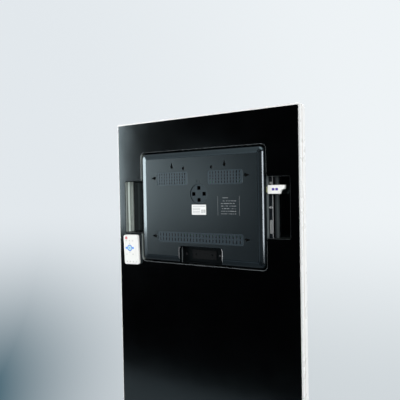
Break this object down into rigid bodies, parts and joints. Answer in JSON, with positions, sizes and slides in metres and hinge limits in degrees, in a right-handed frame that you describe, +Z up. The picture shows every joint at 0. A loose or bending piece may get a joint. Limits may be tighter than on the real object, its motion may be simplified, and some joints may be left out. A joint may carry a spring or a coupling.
{
  "type": "screen floor stand",
  "caption": "Tall flat two-board floor stand on a steel base plate, with a flush screen, side slots, a plugged-in memory stick and a card remote at its rear.",
  "frame": {"origin": "on the floor under the middle of the base plate", "axes": "+Z up, -Y towards the viewer of the screen, +Y out of the open rear"},
  "size_m": [0.64, 0.42, 1.7],
  "materials": {
    "white_steel": "satin powder coat",
    "black_rubber": "matte",
    "zinc_steel": "zinc plated",
    "brass_insert": "plain",
    "white_lacquer": "white lacquer on board",
    "black_gloss": "polished",
    "grey_foam": "foam",
    "slate_plastic": "fine grained, half gloss",
    "pressed_steel": "plain",
    "dark_glass": "polished",
    "green_board": "coated board",
    "black_plastic": "matte",
    "pale_plastic": "satin",
    "white_paper": "coated",
    "grey_metal": "matte",
    "white_plastic": "half gloss",
    "green_plastic": "translucent",
    "black_fabric": "woven",
    "red_plastic": "satin",
    "blue_plastic": "satin"
  },
  "bodies": {
    "stand": {"av_jack": "black_plastic", "back_cover": "slate_plastic", "base_glides": "black_rubber", "base_inserts": "brass_insert", "base_plate": "white_steel", "base_screws": "zinc_steel", "blank_label": "white_paper", "board_screws": "zinc_steel", "board_standoffs": "brass_insert", "cable_grommet": "black_rubber", "card_reader": "black_plastic", "case_screws": "zinc_steel", "chassis_plate": "pressed_steel", "foam_strips": "grey_foam", "foot_latch_plate": "grey_metal", "foot_socket": "slate_plastic", "front_board": "white_lacquer", "front_frame": "slate_plastic", "front_skin": "black_gloss", "lcd_module": "pressed_steel", "loop_pad": "black_fabric", "main_board": "green_board", "power_inlet": "black_plastic", "power_switch_case": "pressed_steel", "rear_board": "white_lacquer", "rear_skin": "black_gloss", "receiver_eye": "dark_glass", "screen_glass": "dark_glass", "speakers": "black_plastic", "usb_port": "pressed_steel"},
    "usb_stick": {"stick_body": "white_plastic", "stick_neck": "green_plastic", "stick_plug": "pressed_steel"},
    "power_switch": {"power_switch_knob": "pale_plastic"},
    "remote": {"remote_front_shell": "white_plastic", "remote_back_shell": "white_plastic", "remote_board": "green_board", "remote_window": "dark_glass", "hook_pad": "black_fabric"},
    "battery_drawer": {"battery_tray": "white_plastic", "coin_cell": "zinc_steel"},
    "power_key_body": {"power_key": "red_plastic"},
    "ok_key_body": {"ok_key": "blue_plastic"},
    "up_key_body": {"up_key": "pale_plastic"},
    "down_key_body": {"down_key": "pale_plastic"},
    "left_key_body": {"left_key": "pale_plastic"},
    "right_key_body": {"right_key": "pale_plastic"},
    "upper_key_1_body": {"upper_key_1": "pale_plastic"},
    "upper_key_2_body": {"upper_key_2": "pale_plastic"},
    "upper_key_3_body": {"upper_key_3": "pale_plastic"},
    "middle_key_1_body": {"middle_key_1": "pale_plastic"},
    "middle_key_2_body": {"middle_key_2": "pale_plastic"},
    "lower_key_1_body": {"lower_key_1": "pale_plastic"},
    "lower_key_2_body": {"lower_key_2": "pale_plastic"},
    "lower_key_3_body": {"lower_key_3": "pale_plastic"},
    "lower_key_4_body": {"lower_key_4": "pale_plastic"}
  },
  "joints": [
    {"name": "stick_pull", "type": "slide", "parent": "stand", "child": "usb_stick", "axis": [-1, 0, 0], "range_m": [0, 0.013]},
    {"name": "power_switch_slide", "type": "slide", "parent": "stand", "child": "power_switch", "axis": [0, 0, 1], "range_m": [-0.004, 0]},
    {"name": "remote_lift", "type": "slide", "parent": "stand", "child": "remote", "axis": [0, 1, 0], "range_m": [0, 0.06]},
    {"name": "battery_drawer_slide", "type": "slide", "parent": "remote", "child": "battery_drawer", "axis": [-0.0349, 0, -0.9994], "range_m": [0, 0.027]},
    {"name": "power_key_press", "type": "slide", "parent": "remote", "child": "power_key_body", "axis": [0, -1, 0], "range_m": [0, 0.00035], "stiffness_N_per_m": 1500},
    {"name": "ok_key_press", "type": "slide", "parent": "remote", "child": "ok_key_body", "axis": [0, -1, 0], "range_m": [0, 0.00035], "stiffness_N_per_m": 1500},
    {"name": "up_key_press", "type": "slide", "parent": "remote", "child": "up_key_body", "axis": [0, -1, 0], "range_m": [0, 0.00035], "stiffness_N_per_m": 1500},
    {"name": "down_key_press", "type": "slide", "parent": "remote", "child": "down_key_body", "axis": [0, -1, 0], "range_m": [0, 0.00035], "stiffness_N_per_m": 1500},
    {"name": "left_key_press", "type": "slide", "parent": "remote", "child": "left_key_body", "axis": [0, -1, 0], "range_m": [0, 0.00035], "stiffness_N_per_m": 1500},
    {"name": "right_key_press", "type": "slide", "parent": "remote", "child": "right_key_body", "axis": [0, -1, 0], "range_m": [0, 0.00035], "stiffness_N_per_m": 1500},
    {"name": "upper_key_1_press", "type": "slide", "parent": "remote", "child": "upper_key_1_body", "axis": [0, -1, 0], "range_m": [0, 0.00035], "stiffness_N_per_m": 1500},
    {"name": "upper_key_2_press", "type": "slide", "parent": "remote", "child": "upper_key_2_body", "axis": [0, -1, 0], "range_m": [0, 0.00035], "stiffness_N_per_m": 1500},
    {"name": "upper_key_3_press", "type": "slide", "parent": "remote", "child": "upper_key_3_body", "axis": [0, -1, 0], "range_m": [0, 0.00035], "stiffness_N_per_m": 1500},
    {"name": "middle_key_1_press", "type": "slide", "parent": "remote", "child": "middle_key_1_body", "axis": [0, -1, 0], "range_m": [0, 0.00035], "stiffness_N_per_m": 1500},
    {"name": "middle_key_2_press", "type": "slide", "parent": "remote", "child": "middle_key_2_body", "axis": [0, -1, 0], "range_m": [0, 0.00035], "stiffness_N_per_m": 1500},
    {"name": "lower_key_1_press", "type": "slide", "parent": "remote", "child": "lower_key_1_body", "axis": [0, -1, 0], "range_m": [0, 0.00035], "stiffness_N_per_m": 1500},
    {"name": "lower_key_2_press", "type": "slide", "parent": "remote", "child": "lower_key_2_body", "axis": [0, -1, 0], "range_m": [0, 0.00035], "stiffness_N_per_m": 1500},
    {"name": "lower_key_3_press", "type": "slide", "parent": "remote", "child": "lower_key_3_body", "axis": [0, -1, 0], "range_m": [0, 0.00035], "stiffness_N_per_m": 1500},
    {"name": "lower_key_4_press", "type": "slide", "parent": "remote", "child": "lower_key_4_body", "axis": [0, -1, 0], "range_m": [0, 0.00035], "stiffness_N_per_m": 1500}
  ]
}
